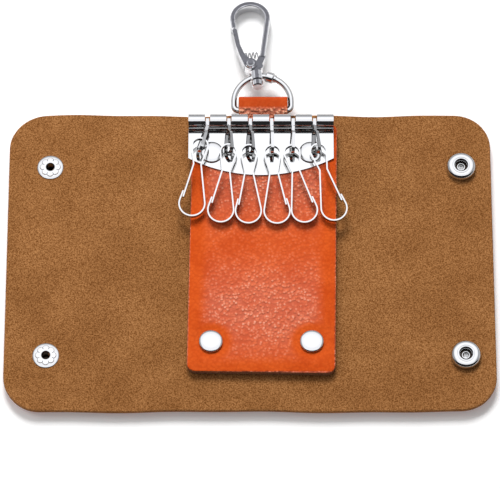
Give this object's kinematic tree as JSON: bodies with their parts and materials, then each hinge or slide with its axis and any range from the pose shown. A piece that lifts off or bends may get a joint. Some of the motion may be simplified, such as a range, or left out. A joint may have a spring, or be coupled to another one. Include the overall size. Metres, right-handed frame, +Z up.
{
  "type": "key case",
  "caption": "Tri-fold leather key case lying open, with an orange tab, a six-hook key bar and a D-ring carrying a swivel snap hook.",
  "frame": {"origin": "on the table, under the middle of the opened object's bounding box", "axes": "+X along the opened shell's width, to the socket flap; +Y towards the snap hook; +Z up, away from the table"},
  "size_m": [0.166, 0.1544, 0.013],
  "materials": {
    "shell_leather": "tan suede, smooth orange-tan grain outside",
    "tab_leather": "orange pebbled grain",
    "bright_metal": "polished nickel plate",
    "cast_metal": "polished plated casting",
    "spring_wire": "drawn spring wire"
  },
  "bodies": {
    "back": {"centre_panel": "shell_leather", "key_tab": "tab_leather", "key_bar": "bright_metal", "bar_rod": "bright_metal", "bar_rivets": "bright_metal", "bar_rivet_backs": "bright_metal", "tab_rivets": "bright_metal", "tab_rivet_backs": "bright_metal"},
    "left_spine_body": {"left_spine": "shell_leather"},
    "left_flap_body": {"left_flap": "shell_leather", "left_eyelets": "bright_metal", "left_studs": "bright_metal"},
    "right_spine_body": {"right_spine": "shell_leather"},
    "right_flap_body": {"right_flap": "shell_leather", "right_sockets": "bright_metal", "socket_springs": "spring_wire", "right_caps": "bright_metal"},
    "link_body_1": {"link_1": "bright_metal"},
    "hook_body_1": {"key_hook_1": "bright_metal"},
    "link_body_2": {"link_2": "bright_metal"},
    "hook_body_2": {"key_hook_2": "bright_metal"},
    "link_body_3": {"link_3": "bright_metal"},
    "hook_body_3": {"key_hook_3": "bright_metal"},
    "link_body_4": {"link_4": "bright_metal"},
    "hook_body_4": {"key_hook_4": "bright_metal"},
    "link_body_5": {"link_5": "bright_metal"},
    "hook_body_5": {"key_hook_5": "bright_metal"},
    "link_body_6": {"link_6": "bright_metal"},
    "hook_body_6": {"key_hook_6": "bright_metal"},
    "ring_body": {"d_ring": "bright_metal", "ring_sleeve": "bright_metal"},
    "barrel_body": {"swivel_barrel": "cast_metal"},
    "snap_body_group": {"snap_body": "cast_metal", "gate_rivet": "cast_metal", "gate_spring": "spring_wire"},
    "gate_body": {"snap_gate": "cast_metal"}
  },
  "joints": [
    {"name": "left_fold_inner", "type": "hinge", "parent": "back", "child": "left_spine_body", "pos_m": [-0.0257, -0.02213, 0.0048], "axis": [0, 1, 0], "range_deg": [0, 90]},
    {"name": "left_fold_outer", "type": "hinge", "parent": "left_spine_body", "child": "left_flap_body", "pos_m": [-0.0351, -0.02213, 0.0048], "axis": [0, 1, 0], "range_deg": [0, 90]},
    {"name": "right_fold_inner", "type": "hinge", "parent": "back", "child": "right_spine_body", "pos_m": [0.0333, -0.02213, 0.0048], "axis": [0, -1, 0], "range_deg": [0, 90]},
    {"name": "right_fold_outer", "type": "hinge", "parent": "right_spine_body", "child": "right_flap_body", "pos_m": [0.0474, -0.02213, 0.0048], "axis": [0, -1, 0], "range_deg": [0, 90]},
    {"name": "link_swing_1", "type": "hinge", "parent": "back", "child": "link_body_1", "pos_m": [0.0038, 0.0274, 0.00882], "axis": [1, 0, 0], "range_deg": [-90, 0]},
    {"name": "hook_swing_1", "type": "hinge", "parent": "link_body_1", "child": "hook_body_1", "pos_m": [-0.01623, 0.02026, 0.01086], "axis": [1, 0, 0], "range_deg": [-80, 0]},
    {"name": "link_swing_2", "type": "hinge", "parent": "back", "child": "link_body_2", "pos_m": [0.0038, 0.0274, 0.00882], "axis": [1, 0, 0], "range_deg": [-90, 0]},
    {"name": "hook_swing_2", "type": "hinge", "parent": "link_body_2", "child": "hook_body_2", "pos_m": [-0.00726, 0.01823, 0.01059], "axis": [1, 0, 0], "range_deg": [-80, 0]},
    {"name": "link_swing_3", "type": "hinge", "parent": "back", "child": "link_body_3", "pos_m": [0.0038, 0.0274, 0.00882], "axis": [1, 0, 0], "range_deg": [-90, 0]},
    {"name": "hook_swing_3", "type": "hinge", "parent": "link_body_3", "child": "hook_body_3", "pos_m": [0.00012, 0.018, 0.01055], "axis": [1, 0, 0], "range_deg": [-80, 0]},
    {"name": "link_swing_4", "type": "hinge", "parent": "back", "child": "link_body_4", "pos_m": [0.0038, 0.0274, 0.00882], "axis": [1, 0, 0], "range_deg": [-90, 0]},
    {"name": "hook_swing_4", "type": "hinge", "parent": "link_body_4", "child": "hook_body_4", "pos_m": [0.00749, 0.01788, 0.01053], "axis": [1, 0, 0], "range_deg": [-80, 0]},
    {"name": "link_swing_5", "type": "hinge", "parent": "back", "child": "link_body_5", "pos_m": [0.0038, 0.0274, 0.00882], "axis": [1, 0, 0], "range_deg": [-90, 0]},
    {"name": "hook_swing_5", "type": "hinge", "parent": "link_body_5", "child": "hook_body_5", "pos_m": [0.01453, 0.01789, 0.01053], "axis": [1, 0, 0], "range_deg": [-80, 0]},
    {"name": "link_swing_6", "type": "hinge", "parent": "back", "child": "link_body_6", "pos_m": [0.0038, 0.0274, 0.00882], "axis": [1, 0, 0], "range_deg": [-90, 0]},
    {"name": "hook_swing_6", "type": "hinge", "parent": "link_body_6", "child": "hook_body_6", "pos_m": [0.02271, 0.01825, 0.01059], "axis": [1, 0, 0], "range_deg": [-80, 0]},
    {"name": "ring_swing", "type": "hinge", "parent": "back", "child": "ring_body", "pos_m": [0.0043, 0.03357, 0.00621], "axis": [1, 0, 0], "range_deg": [-65, 60]},
    {"name": "swivel_tilt", "type": "hinge", "parent": "ring_body", "child": "barrel_body", "pos_m": [0.00233, 0.04652, 0.00621], "axis": [0.996, 0.0889, 0], "range_deg": [-60, 60]},
    {"name": "snap_swivel", "type": "hinge", "parent": "barrel_body", "child": "snap_body_group", "pos_m": [0.00233, 0.04652, 0.00621], "axis": [-0.0882, 0.9878, -0.1286], "continuous": true},
    {"name": "gate_open", "type": "hinge", "parent": "snap_body_group", "child": "gate_body", "pos_m": [0.00026, 0.05067, 0.00565], "axis": [0.0114, -0.1281, -0.9917], "range_deg": [0, 25], "stiffness_Nm_per_rad": 0.02, "springref_deg": -5.73, "deforming": ["gate_spring"]}
  ],
  "couplings": [
    {"joint": "left_fold_outer", "follows": "left_fold_inner", "ratio": 1},
    {"joint": "right_fold_outer", "follows": "right_fold_inner", "ratio": 1}
  ]
}
